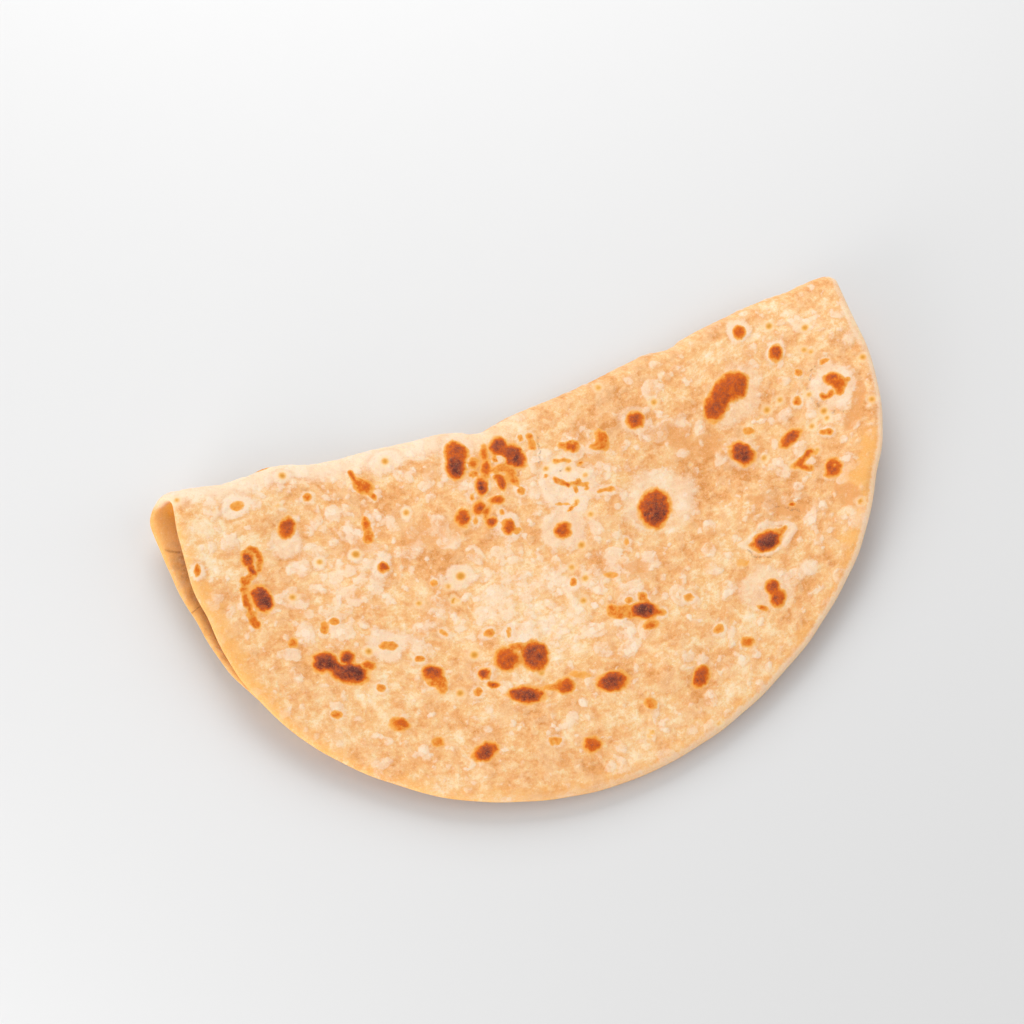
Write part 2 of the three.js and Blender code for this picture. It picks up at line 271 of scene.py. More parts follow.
# Pinheads where only the tip of a bubble touched the griddle: along, across and radius.
PINS = (
    (-93, 6.5, 0.4), (-64, 6.5, 0.8), (-60.5, 32.5, 0.6), (-70, 41.5, 0.7), (-50.5, 32, 1),
    (-35.5, 7, 0.8), (-34, 23, 0.7), (-29, 47, 0.5), (-25, 45, 1.1), (-28, 68.5, 0.9),
    (-38, 50, 0.6), (-54.5, 61, 0.7), (-34.5, 78, 0.8), (-12.5, 78.5, 0.7), (6.5, 21.9, 0.6),
    (9.8, 20.9, 0.7), (12.4, 24.5, 0.7), (13, 22.1, 0.5), (16.3, 28.1, 0.5), (11.7, 34.6, 0.5),
    (14.1, 39.7, 0.6), (80.4, 52, 0.5), (72.2, 53, 0.5), (9, 47, 0.8), (7, 56.5, 0.7),
    (4.5, 52, 0.6), (4.5, 62.5, 0.7), (28.5, 5, 0.6), (42, 16.5, 0.7), (65.8, 46.6, 0.6),
    (81.1, 10.8, 0.8), (90.4, 15.6, 0.8), (87.8, 22, 0.6), (89.4, 23.5, 0.5), (76.2, 32.9, 0.6),
    (71.7, 33.8, 0.8), (86.4, 42, 0.8), (86.4, 44.4, 0.5), (81.7, 44.6, 0.6), (99.8, 44.5, 0.7),
    (102.2, 31.1, 0.7), (84.3, 35.5, 0.5),
)

# A mark shorter than this and less dark sits in a ring of pale skin this wide and this pale.
SMALL_MARK, SMALL_MARK_HEAT = 1.3, 0.55
SMALL_MARK_RING, SMALL_MARK_PALE = 0.9, 0.6

# Pale blister skins round the marks, as the scorch marks are given, with how pale at the end.
HALO_WOBBLE_SIZE = 6.0
HALO_SOFTNESS, HALO_SOFTNESS_RISE = 0.7, 0.16  # a skin's edge is softer for each mm of its size
HALOS = (
    (-78, 11, 4.4, 4, 0, 0.9), (-92.5, 27.5, 2.3, 2.1, 70, 0.8), (-64, 6.5, 2.7, 1.8, 10, 0.7),
    (-60.5, 32.5, 2, 1.7, -65, 0.8), (-50.5, 32, 2, 1.7, -65, 0.9),
    (-44.5, 37, 3.7, 2.4, -75, 0.8), (-35.5, 7, 4.7, 3.6, 20, 0.7), (-34, 23, 2.6, 1.6, -75, 0.8),
    (-25, 45, 3.8, 3.6, 0, 0.7), (-49, 60.5, 5.2, 4.4, 5, 0.7), (-12, 20.5, 3.6, 2.1, -70, 0.8),
    (-8.5, 34.5, 3.9, 3.6, 0, 0.8), (5.5, 41, 6.8, 5.7, 30, 0.6), (34, 43.5, 11.1, 8.9, 25, 0.5),
    (33, 48.5, 8.5, 5.5, 20, 0.3), (58.4, 69.4, 6.2, 3.6, 12, 0.5), (52, 82, 7.6, 6, 40, 0.45),
    (72.5, 8, 3.6, 3.1, 60, 0.8), (80, 19, 3.8, 2.9, -65, 0.8), (91.5, 36, 7, 6.3, 80, 0.6),
    (80.5, 35.5, 2, 1.8, 70, 0.8), (84, 28, 1.6, 1.4, 75, 0.6), (11, 28.5, 9, 8.2, -85, 0.65),
    (60.6, 42.3, 6, 4.4, 58, 0.35), (35, 19, 4.6, 4.2, 50, 0.45), (-27, 74.5, 2.8, 2.6, 0, 0.4),
    (94.6, 47.3, 1, 0.9, 0, 1.2), (-16, 10.5, 7.5, 4.6, -70, 0.6), (65, 82.5, 2.6, 2.2, 45, 0.7),
    (-32.5, 45, 1.8, 1.6, -70, 0.6), (65, 25, 9.4, 7.5, -40, 0.4),
    (-67.5, 25.2, 4.8, 4, -60, 0.55), (104.5, 19, 16, 2.4, 90, 0.5),
)

# Patches where the skin has flaked off the smooth tan dough, in the same way.
BARE_PATCHES = (
    (65, 62.5, 9, 2.2, 42, 0.9), (96.5, 42.2, 4.4, 1.7, -57, 0.95),
    (93, 47.8, 3.6, 2.3, -40, 0.95), (83.5, 69, 4.6, 3, 60, 0.9), (21, 59, 4.6, 1.7, 25, 0.9),
    (43, 27.5, 7, 3, 35, 0.6), (-10, 14, 3.4, 2.6, -70, 0.8), (51.5, 35, 5.5, 3.8, 20, 0.5),
    (19.5, 25.5, 8, 2.4, 20, 0.4), (-49, 29, 5, 2.2, 30, 0.5), (-29, 31, 8, 4, 10, 0.5),
    (-69, 43, 6, 3, 60, 0.4),
)

# Hairline cracks, and the last a painted shadow line below the raised lip: their bends as along and
# across, below zero on the lower layer's inner face.
CRACKS_AND_PAINTED_SHADOW_LINE = (
    ((-90.4, -36.6), (-88.2, -36.2), (-86, -35.5), (-84.4, -35.2)),
    ((-92.2, -16.3), (-90.2, -17.5), (-88.2, -18.2)),
    ((7.5, 11.8), (6.6, 16.2), (5.3, 19.2), (5.2, 21.8)),
    ((60.6, 58.8), (64.5, 61.9), (69, 66)),
    ((89.2, 28), (86.4, 30), (85, 32.9), (84.8, 36.1), (85.8, 39.7), (87.9, 42.8), (91, 44.5)),
    # Painted shadow along the lower edge of the raised lip, drawn as a crack.
    ((50.6, 68.4), (52.4, 71), (54.3, 73.1), (56.4, 74.2)),
)
CRACK_WANDER = 0.7
CRACK_END = 0.3  # past the end of a crack's line by this much, a point is outside it
CRACK_DEPTH, CRACK_WIDTH = 0.4, 0.5  # the depth as a part of the skin relief

# Raised pale edges of lifted skin: their width, and their bends as along and across.
LIPS = (
    (1.1, (50, 66.8), (52.8, 66.8), (55.2, 65.8), (57, 64.9), (58.9, 64.8), (61.3, 66.2), (63.9, 67.6)),
    (1.9, (63.9, 67.6), (65.4, 69.2), (65.7, 70.4), (63.4, 71.9), (61.6, 72.8)),
    (0.9, (61.6, 72.8), (59.6, 73.5), (57, 73.5), (54.5, 72.4), (52.7, 70.4), (51, 68), (50, 66.8)),
)
LIP_UNEVEN = 0.25

# What stands for points that are far outside every skin, pin and flake, or far from every crack.
FAR_OUTSIDE, FAR_FROM_CRACK = -3.0, 5.0

# Broad areas of the upper layer that took more (+) or less (-) heat: along, across, radius, amount.
TOASTED_AREAS = (
    (-30, 32, 20, 0.5), (-8, 48, 14, 0.2), (48, 40, 17, 0.6), (36, 8, 18, 0.5), (86, 62, 16, 0.4),
    (68, 62, 8, 0.9), (97, 50, 7, 0.9), (101, 34, 5, 0.8), (91, 66, 8, 0.9), (30, 64, 10, 0.5),
    (-84, 16, 18, -0.5), (-84, 50, 14, 0.35), (-40, 6, 13, -0.5), (-9.5, 13.5, 3.6, 1.7),
    (-3, 19.5, 2.6, 1.3), (-10, 60, 18, -0.7), (11, 27, 11, -0.6), (34, 43, 10, -0.5),
    (-60, 72, 14, -0.2),
)

# Areas of smooth golden dough, in the same way.
GOLDEN_AREAS = (
    (-93, 34, 3.5, 0.4), (-92, 44, 4, 0.6), (-90.5, 54, 4.5, 0.7), (-88.5, 64, 4.5, 0.7),
    (-86, 72, 4.5, 0.6), (104, 12, 12, -0.5), (103, 30, 10, -0.5), (99, 44, 5, -0.4),
    (86, 63, 5, 0.3), (94.5, 56, 3, 0.8), (91.5, 61.5, 3, 0.8), (88, 67, 3, 0.7),
    (84, 72, 3, 0.5), (78, 80, 3, 0.5),
)
RIM_GOLD, RIM_GOLD_FALL = 0.4, 0.07  # at the rim, and how much less for each mm away from it
INSIDE_PAINTED_GLOW, INSIDE_PAINTED_GLOW_LENGTH = 1.4, 12.0  # painted glow on the inner face, as of light shining through the thin sheet, within this distance of the bend
PALE_INNER_RIM, PALE_INNER_RIM_LENGTH = 4.5, 20.0  # the inner face's darker tan, partly painted shade, gives way this near the rim and the bend, so it is paler there

# Painted light along the upper layer's rim: it is painted pale within this distance, less towards the
# bend's open end.
RIM_PAINTED_LIGHT, RIM_PAINTED_LIGHT_AMOUNT, RIM_PAINTED_LIGHT_FADE = 1.3, 0.7, 120.0

# Areas whose skin broke into small pale flakes, in the same way.
FLAKY_AREAS = (
    (-48, 32, 13, 0.7), (-62, 47, 8, 0.5), (11, 28, 8.5, 2), (-8, 58, 16, 0.8), (20, 58, 14, 0.4),
    (46, 22, 9, 0.5), (80, 33, 12, 0.1), (70, 60, 6, 0.7), (82, 77, 6, 0.9), (-58, 28, 8, 0.9),
)

# Areas peppered with tiny dark specks, in the same way.
SPECKLED_AREAS = (
    (11, 27, 8, 1.0), (-10, 14, 6, 0.5), (84, 34, 10, 0.4), (66, 64, 6, 0.4),
)

TOAST_UNEVEN, TOAST_SIZE = 0.45, 26.0
FLAKY_UNEVEN, FLAKY_SIZE, FLAKY_LEAST = 0.35, 17.0, 0.05

# Thin pale skin: how far its outline drifts, and cuts that leave less of it the higher they are.
FILM_DRIFT, FILM_DRIFT_SIZE = 1.6, 9.0
LARGE_FILM_SIZE, LARGE_FILM_STRETCH, LARGE_FILM_CUT = 6.5, 1.15, 0.22
SMALL_FILM_SIZE, SMALL_FILM_STRETCH, SMALL_FILM_CUT = 2.8, 1.1, 0.34
INNER_FILM_SHIFT = 300.0  # so that the inner face has skins of its own

# Pale flakes, large and small, and how much more the small ones keep to the flaky areas.
FLAKE_STRETCH, FLAKE_DRIFT, FLAKE_DRIFT_SIZE = 0.7, 0.6, 3.2
LARGE_FLAKES = {"spacing": 6.0, "smallest": -2.4, "largest": 2.7, "seed": 5}
SMALL_FLAKES = {"spacing": 2.5, "smallest": -1.2, "largest": 1.1, "seed": 25}
SMALL_FLAKE_CLUSTERING = 1.8

CRUMB_RELIEF, CRUMB_SIZE = 0.07, 3.0
RELIEF_FADE = 3.0  # the relief runs out over this distance from the rim
INNER_RELIEF, INNER_RELIEF_LIMIT = 0.25, 0.5  # part of the relief, and its limit, on the inner face

# What the mesh stores at each vertex for the finish, besides its place on the dough.
FIELDS = (
    "scorch", "skin_and_rim_light_inside", "skin_and_rim_light_pale", "pin", "crack", "crack_near", "film", "flake", "toast",
    "golden", "lip", "speckled", "inside",
)


# ---- Arithmetic of the dough --------------------------------------------------------------------


def ease(t):
    """Rises smoothly from 0 to 1 as t does."""
    c = np.clip(t, 0.0, 1.0)
    return c * c * (3.0 - 2.0 * c)


def hump(distance, width):
    """1 in the middle, falling away over width."""
    return np.exp(-((distance / width) ** 2))


def draw(column, row, seed):
    """A random number from 0 to 1 for each whole-numbered place, by mixing the place's bits."""
    mixed = (column * 73856093) ^ (row * 19349663) ^ (seed * 83492791)
    mixed = (mixed ^ (mixed >> 13)) * 1274126177 & 0xFFFFFFFF
    return (mixed ^ (mixed >> 15)) % 65536 / 65536


def grain(x, y, size, seed):
    """Smooth random noise from about -1 to 1, with bumps about size apart."""
    gx, gy = x / size, y / size
    ix, iy = np.floor(gx).astype(np.int64), np.floor(gy).astype(np.int64)
    fx, fy = gx - ix, gy - iy

    def corner(dx, dy):
        angle = draw(ix + dx, iy + dy, seed) * 2.0 * np.pi
        return np.cos(angle) * (fx - dx) + np.sin(angle) * (fy - dy)

    sx, sy = (f * f * f * (f * (f * 6.0 - 15.0) + 10.0) for f in (fx, fy))
    near = corner(0, 0) * (1.0 - sx) + corner(1, 0) * sx
    far = corner(0, 1) * (1.0 - sx) + corner(1, 1) * sx
    return 1.6 * (near * (1.0 - sy) + far * sy)


def mottle(x, y, size, seed, octaves=3):
    """Noise with finer noise on it, each octave half the size and a little over half as strong."""
    return sum(grain(x, y, size / 2**k, seed + 17 * k) * 0.55**k for k in range(octaves))


def scattered_flakes(x, y, spacing, smallest, largest, seed):
    """How many millimetres inside the nearest of many oval flakes, each of its own size and turn."""
    column, row = (np.floor(place / spacing).astype(np.int64) for place in (x, y))
    inside = np.full(x.shape, -spacing)
    for over in (-1, 0, 1):
        for up in (-1, 0, 1):
            at = (column + over, row + up)
            at_x, at_y, size, turn, stretch = (draw(*at, seed + k) for k in range(5))
            dx = x - (column + over + at_x) * spacing
            dy = y - (row + up + at_y) * spacing
            c, s = np.cos(turn * np.pi), np.sin(turn * np.pi)
            longer = 1.0 + FLAKE_STRETCH * stretch
            reach = np.hypot((dx * c + dy * s) / longer, dy * c - dx * s)
            inside = np.maximum(inside, smallest + (largest - smallest) * size - reach)
    return inside


def add_up(areas, along, across):
    """The sum of round areas' amounts at each point, each fading out over its radius."""
    return sum(
        amount * hump(np.hypot(along - at, across - over), radius)
        for at, over, radius, amount in areas
    )


def rim_radius(angle):
    """The unfolded bread's radius in a direction."""
    radius = 1.0
    for k, (cosine, sine) in enumerate(zip(RIM_COSINES, RIM_SINES), start=1):
        radius = radius + cosine * np.cos(k * angle) + sine * np.sin(k * angle)
    dents = 0.0
    for towards, width, depth in RIM_DENTS:
        aside = np.degrees(angle) - towards
        dents = dents + depth * hump(aside - 360.0 * np.round(aside / 360.0), width)
    return BREAD_RADIUS * radius - dents


def on_sheet(u, v):
    """The place on the dough of a square's point, and its distance from the rim."""
    x = u * np.sqrt(1.0 - v * v / 2.0)
    y = v * np.sqrt(1.0 - u * u / 2.0)
    angle = np.arctan2(y, x)
    ragged = RIM_RAGGED * grain(np.cos(angle) * RIM_RAGS, np.sin(angle) * RIM_RAGS, 1.0, seed=5)
    radius = rim_radius(angle) + LIP_REACH + ragged * np.hypot(x, y) ** 8
    return radius * x, radius * y, radius * (1.0 - np.hypot(x, y))


def middle(along, across):
    """Where the middle of the folded sheet's thickness is."""
    opening = LEFT_BEND_OPENING * ease((-along - LEFT_OPENING_START) / LEFT_OPENING_LENGTH)
    rise = BEND_RADIUS + opening
    depth = rise * BEND_DEPTH_RATIO
    bend = np.pi * (rise + depth) / 2.0
    turn = np.clip(across / bend, -0.5, 0.5) * np.pi
    past = np.maximum(0.0, np.abs(across) - bend / 2.0)
    w = along / BREAD_RADIUS
    bow = sum(term * w**power for power, term in enumerate(FOLD_BOW))
    bumps = sum(out * hump(along - at, width) for at, out, width in FOLD_BUMPS)

    x = along - LOWER_LAYER_SHIFT * (1.0 - ease(across / bend + 0.5))
    y = bow + bumps * hump(past, FOLD_BUMP_REACH) + depth * np.cos(turn) - past
    swell = 0.0
    for height, length, heading, start in WAVES:
        way = x * math.cos(math.radians(heading)) + y * math.sin(math.radians(heading))
        swell = swell + height * np.sin(2.0 * np.pi * way / length + math.radians(start))
    closed = dough_thickness() + LAYER_GAP
    gap = closed + (2.0 * rise - closed) * np.exp(-((past / GAP_FALL_LENGTH) ** GAP_FALL_POWER))
    bent = rise * (1.0 + np.sin(turn))
    z = np.where(across > bend / 2.0, gap + swell * ease(past / WAVE_FADE), bent)
    past_flat = np.maximum(0.0, (np.abs(x) - FLAT_HALF_LENGTH) / (BREAD_RADIUS - FLAT_HALF_LENGTH))
    lift = np.where(x < 0.0, LEFT_END_LIFT, RIGHT_END_LIFT) * past_flat**2
    return np.stack([x, y, dough_thickness() / 2.0 + z + lift], axis=-1)


def outward(along, across, step=0.4):
    """Which way the outside of the bread faces, from points this step around each one."""
    ways = middle(along + step, across) - middle(along - step, across)
    over = middle(along, across + step) - middle(along, across - step)
    facing = np.cross(over, ways)
    return facing / np.linalg.norm(facing, axis=-1, keepdims=True)


def inside_ellipse(along, across, mark, wobble=0.0):
    """How many millimetres inside a mark's edge each point is, below zero outside it."""
    at, over, half_long, half_wide, turn = mark[:5]
    c, s = math.cos(math.radians(turn)), math.sin(math.radians(turn))
    dx, dy = along - at, across - over
    reach = np.hypot((dx * c + dy * s) / half_long, (dy * c - dx * s) / half_wide)
    size = math.sqrt(half_long * half_wide)
    return (1.0 - reach) * size + wobble * min(size, WOBBLE_SIZE) * WOBBLE_PART


def from_stretch(along, across, start, end):
    """How far each point is from a straight stretch, and to one side of the line through it."""
    dx, dy = end[0] - start[0], end[1] - start[1]
    x, y = along - start[0], across - start[1]
    length = math.hypot(dx, dy)
    t = np.clip((x * dx + y * dy) / length**2, 0.0, 1.0)
    return np.hypot(x - t * dx, y - t * dy), (x * dy - y * dx) / length


def inside_streak(along, across, bends, width):
    """How many millimetres inside a thin line's edge each point is."""
    stretches = zip(bends[:-1], bends[1:])
    return width / 2.0 - np.min([from_stretch(along, across, *ends)[0] for ends in stretches], axis=0)


def dough_thickness():
    """The sheet's thickness in millimetres."""
    return bpy.context.scene.chapati_dough.thickness / MM


# ---- Colours ------------------------------------------------------------------------------------

# The Mix node's sockets for colours.
MIX_BELOW, MIX_ABOVE, MIX_COLOUR = 6, 7, 2


def linear(colour):
    """An sRGB hex colour as linear red, green, blue and alpha."""
    value = colour.lstrip("#")
    channels = [int(value[i : i + 2], 16) / 255.0 for i in (0, 2, 4)]
    return (*[c / 12.92 if c <= 0.04045 else ((c + 0.055) / 1.055) ** 2.4 for c in channels], 1.0)


def add_node(tree, kind, inputs=(), output=0, **settings):
    """Adds a node with its settings, sets or links its inputs, and gives one of its outputs.

    The inputs are named, or in the order of the node's sockets.
    """
    node = tree.nodes.new("ShaderNode" + kind)
    for name, value in settings.items():
        setattr(node, name, value)
    for socket, value in inputs.items() if isinstance(inputs, dict) else enumerate(inputs):
        if isinstance(value, bpy.types.NodeSocket):
            tree.links.new(value, node.inputs[socket])
        else:
            node.inputs[socket].default_value = value
    return node.outputs[output] if node.outputs else None


def new_material(name):
    """An empty node material, and add_node for its tree."""
    material = bpy.data.materials.new(name)
    material.use_nodes = True
    material.node_tree.nodes.clear()
    return material, partial(add_node, material.node_tree)


LENGTH = {"subtype": "DISTANCE", "unit": "LENGTH"}


class ChapatiDough(bpy.types.PropertyGroup):
    """Sizes and colours of the bread."""

    thickness: FloatProperty(
        name="Thickness", description="Thickness of the baked sheet", default=2.2 * MM, **LENGTH
    )
    skin_relief: FloatProperty(
        name="Skin relief", description="How far pale skins stand proud", default=0.16 * MM, **LENGTH
    )
    dome_relief: FloatProperty(
        name="Dome relief", description="How far large blisters stand proud", default=0.5 * MM, **LENGTH
    )
    seed: IntProperty(name="Seed", description="Seed of the random marks", default=11)
    # Crust colour is also the ring of painted shadow round the pale skins.
    crust: StringProperty(name="Crust", description="Dough that took the most heat", default="#DC9450")
    # Toasted colour is also the painted shadow round the flakes.
    toasted: StringProperty(name="Toasted dough", description="Browner dough", default="#EEAD6E")
    dough: StringProperty(name="Dough", description="Plain baked dough", default="#F5C286")
    skin: StringProperty(name="Skin", description="Pale blister skin", default="#FBDBAE")
    flour: StringProperty(name="Flour", description="Dry flour and palest flakes", default="#FDE8CE")
    # This colour also lays the painted glow on the inner face near the bend.
    glow: StringProperty(name="Golden glow", description="Dough baked evenly golden", default="#F8B868")
    # Bran colour also draws the painted shadow line below the raised lip.
    bran: StringProperty(name="Bran", description="Specks of wheat bran and cracks", default="#98541E")
    bare: StringProperty(name="Bare dough", description="Dough under flaked skin", default="#EBA766")
    mustard: StringProperty(name="Mustard pin", description="Pinhead scorch", default="#DB9534")
    # The inner face's tan: partly its own second baking, partly painted shade under the upper layer.
    inside: StringProperty(name="Inside", description="Inner face of the fold", default="#CE8947")
    # Painted glow: the inner face at the bend, coloured as if lit by light shining through the sheet.
    painted_loop_glow: StringProperty(name="Loop", description="Inner face at the bend", default="#FFBC48")
    golden: StringProperty(name="Golden spot", description="Faintest scorch", default="#FABD68")
    amber: StringProperty(name="Amber spot", description="Light scorch", default="#EE9F44")
    orange: StringProperty(name="Orange spot", description="Scorch past amber", default="#E07418")
    rust: StringProperty(name="Rust spot", description="Middle scorch", default="#CE5D17")
    brown: StringProperty(name="Brown spot", description="Dark scorch", default="#9F4827")
    char: StringProperty(name="Charred spot", description="Darkest scorch", default="#632E25")
    ember: StringProperty(name="Ember", description="Light grains in a scorch mark", default="#E08A50")


class ChapatiStage(bpy.types.PropertyGroup):
    """The table, the lights and the camera."""

    table: StringProperty(name="Table", description="Pale matt table", default="#E2E2E2")
    room: FloatProperty(name="Room light", description="Strength of the white room", default=0.505)
    window: FloatProperty(
        name="Window light", description="Power of the large soft light behind the table", default=2.8
    )
    fill: FloatProperty(name="Fill light", description="Power of the light on each side", default=1.3)
    side: FloatProperty(name="Side light", description="Power of the low light on the left", default=1.45)
    lens: FloatProperty(name="Lens", description="Focal length in millimetres", default=70.3)
    target: FloatVectorProperty(
        name="Target",
        description="Point that the camera looks at, from the middle of the fold",
        default=(-5.1 * MM, -22.2 * MM, 0.0),
        subtype="TRANSLATION",
    )
    distance: FloatProperty(name="Distance", description="Camera to target", default=0.5537, **LENGTH)
    azimuth: FloatProperty(
        name="Azimuth", description="Turn of the camera", default=math.radians(-16.7), subtype="ANGLE"
    )
    elevation: FloatProperty(
        name="Elevation", description="Camera's height", default=math.radians(60.0), subtype="ANGLE"
    )


# ---- The bread ----------------------------------------------------------------------------------


def only(thing):
    """Selects one object alone and makes it active."""
    bpy.ops.object.select_all(action="DESELECT")
    thing.select_set(True)
    bpy.context.view_layer.objects.active = thing


def apply_modifier(thing, kind, **settings):
    """Adds a modifier, sets it and applies it."""
    modifier = thing.modifiers.new(kind.lower(), kind)
    for name, value in settings.items():
        setattr(modifier, name, value)
    only(thing)
    bpy.ops.object.modifier_apply(modifier=modifier.name)


def roll_sheet():
    """A flat square sheet of two faces, with u and v from -1 to 1 as x and y."""
    bpy.ops.object.select_all(action="DESELECT")
    rows = LOWER_ROWS + BEND_ROWS + UPPER_ROWS
    bpy.ops.mesh.primitive_grid_add(x_subdivisions=COLUMNS, y_subdivisions=rows, size=2.0)
    sheet = bpy.context.active_object
    bpy.ops.object.mode_set(mode="EDIT")
    bpy.ops.mesh.select_all(action="SELECT")
    bpy.ops.mesh.flip_normals()
    bpy.ops.object.mode_set(mode="OBJECT")
    apply_modifier(sheet, "SOLIDIFY", thickness=FLAT_THICKNESS, offset=-1.0)
    return sheet


def row_place(v):
    """Crowds the rows at the bend and on the upper layer."""
    rows = LOWER_ROWS + BEND_ROWS + UPPER_ROWS
    bend_edge = BEND_ROWS_REACH / BREAD_RADIUS
    lower_end = 2.0 * LOWER_ROWS / rows - 1.0
    upper_start = 2.0 * (LOWER_ROWS + BEND_ROWS) / rows - 1.0
    return np.interp(v, [-1.0, lower_end, upper_start, 1.0], [-1.0, -bend_edge, bend_edge, 1.0])


def random_marks(seed, count, side):
    """Seeded scorch marks on the upper (1) or lower (-1) layer."""
    rng = np.random.default_rng(seed)
    marks = []
    while len(marks) < count:
        along, across = rng.uniform(-BREAD_RADIUS, BREAD_RADIUS, 2)
        size = SMALLEST_MARK + MARK_SIZES * rng.random() ** 3
        long = size * rng.uniform(1.0, LONGEST_MARK)
        turn, heat = rng.uniform(-90, 90), LEAST_HEAT + MARK_HEATS * rng.random() ** 1.2
        from_rim = rim_radius(np.arctan2(across, along)) - np.hypot(along, across)
        if across * side > BEND_CLEARANCE and from_rim > RIM_CLEARANCE:
            heat = min(heat, HEAT_LIMIT + HEAT_LIMIT_RISE * size)
            marks.append((along, across, long, size, turn, heat))
    return marks


def scorch_at(depth, size, darkest):
    """How scorched the dough is at a depth inside the edge of a mark of some size."""
    deep = np.maximum(depth, 0.0)
    even = ease((darkest - PLATEAU_FROM) / PLATEAU_RANGE)
    rise = even * (1.0 - np.exp(-deep / SCORCH_RISE)) + (1.0 - even) * np.minimum(deep / size, 1.0)
    inner = SCORCH_AT_EDGE + (darkest - SCORCH_AT_EDGE) * rise
    outer = SCORCH_AT_EDGE + depth / (GLOW_REACH + GLOW_SPREAD * size)
    return np.clip(np.where(depth > 0.0, inner, outer), -1.0, darkest)


def join(a, b):
    """The larger of two fields, rounded where they are nearly alike."""
    near = np.clip(1.0 - np.abs(a - b) / MARK_BLEND, 0.0, 1.0)
    return np.maximum(a, b) + near * near * MARK_BLEND / 4.0


def scorch_of(along, across, marks, streaks=()):
    """How scorched each point is, below zero outside the marks, and how domed the blisters are."""
    scorch, dome = np.full(along.shape, -1.0), np.zeros(along.shape)
    wobble = SCORCH_WOBBLE * mottle(along, across, 3.6, seed=31, octaves=2)
    ragged = SCORCH_RAGGED * mottle(along, across, 1.5, seed=33, octaves=2)
    for mark in marks:
        at, over, long, wide, _, darkest = mark
        reach = max(long, wide) * MARK_WINDOW + MARK_MARGIN
        near = (np.abs(along - at) < reach) & (np.abs(across - over) < reach)
        depth = inside_ellipse(along[near], across[near], mark, wobble[near]) + ragged[near]
        size = math.sqrt(long * wide)
        heading = at + over  # in radians, so that each mark leans its own way
        lean = (along[near] - at) * math.cos(heading) + (across[near] - over) * math.sin(heading)
        dark = darkest * (1.0 + SCORCH_LEAN * np.clip(lean / size, -1.0, 1.0))
        scorch[near] = join(scorch[near], scorch_at(depth, size, dark))
        if size > DOMED_SIZE:
            height = ease((depth + DOME_SKIRT) / size) * min(1.0, size / FULL_DOME_SIZE)
            dome[near] = np.maximum(dome[near], height)
    for width, dark, gaps, *bends in streaks:
        uneven = width * (1.0 + STREAK_UNEVEN * grain(along, across, 2.3, seed=37))
        uneven = uneven + gaps * (STREAK_GAPS * grain(along, across, 1.3, seed=41) - STREAK_THINNED)
        depth = inside_streak(along, across, bends, uneven)
        patchy = dark * (1.0 + STREAK_PATCHY * grain(along, across, 3.1, seed=39))
        scorch = join(scorch, scorch_at(depth, width / 2.0, patchy))
    for spot in UNSCORCHED:
        paler = ease(inside_ellipse(along, across, spot) + UNSCORCHED_EDGE)
        scorch = scorch - UNSCORCHED_PALER * paler
    return scorch, dome


def pale_of(along, across, halos):
    """How far inside a pale skin or bare patch each point is, softened, and how pale it is."""
    inside, pale = np.full(along.shape, FAR_OUTSIDE), np.zeros(along.shape)
    wobble = mottle(along, across, HALO_WOBBLE_SIZE, seed=47)
    for halo in halos:
        softness = HALO_SOFTNESS + HALO_SOFTNESS_RISE * math.sqrt(halo[2] * halo[3])
        depth = inside_ellipse(along, across, halo, wobble) / softness
        closer = depth > inside
        inside, pale = np.where(closer, depth, inside), np.where(closer, halo[5], pale)
    return inside, pale


def crack_of(along, across):
    """How many millimetres each point lies to one side of the nearest crack, and from its line; one of
    the lines is painted shadow.
    """
    side, nearest = np.full(along.shape, FAR_FROM_CRACK), np.full(along.shape, FAR_FROM_CRACK)
    along = along + CRACK_WANDER * mottle(along, across, 3.0, seed=57, octaves=2)
    across = across + CRACK_WANDER * mottle(along, across, 3.0, seed=59, octaves=2)
    for bends in CRACKS_AND_PAINTED_SHADOW_LINE:
        for start, end in zip(bends[:-1], bends[1:]):
            distance, aside = from_stretch(along, across, start, end)
            aside = np.where(np.abs(aside) < distance - CRACK_END, distance, aside)
            side = np.where(distance < nearest, aside, side)
            nearest = np.minimum(nearest, distance)
    return side, nearest


def lip_of(along, across):
    """How many millimetres inside the nearest raised skin edge each point is."""
    uneven = LIP_UNEVEN * mottle(along, across, 2.2, seed=63, octaves=2)
    lips = [inside_streak(along, across, bends, width) for width, *bends in LIPS]
    return uneven + np.max(lips, axis=0)


def pin_of(along, across):
    """How many millimetres inside the nearest pinhead each point is."""
    inside = np.full(along.shape, FAR_OUTSIDE)
    for at, over, radius in PINS:
        inside = np.maximum(inside, radius - np.hypot(along - at, across - over))
    return inside


def golden_of(along, across, from_rim, outer):
    """How golden the dough is, from 0 to about 1: at the rim, in patches, and inside by the bend, where
    it is a painted glow of light through the sheet.
    """
    rim = np.maximum(RIM_GOLD - RIM_GOLD_FALL * from_rim, 0.0)
    # Painted glow on the inner face near the bend, standing in for light that shines through the thin
    # sheet.
    inside = INSIDE_PAINTED_GLOW * hump(across, INSIDE_PAINTED_GLOW_LENGTH)
    return rim + np.where(outer, add_up(GOLDEN_AREAS, along, across), inside)


def drifts(along, across, reach, size, seeds):
    """Smooth random shifts of each point, one field for each seed, with bumps about size apart."""
    return [reach * mottle(along, across, size, seed, octaves=2) for seed in seeds]


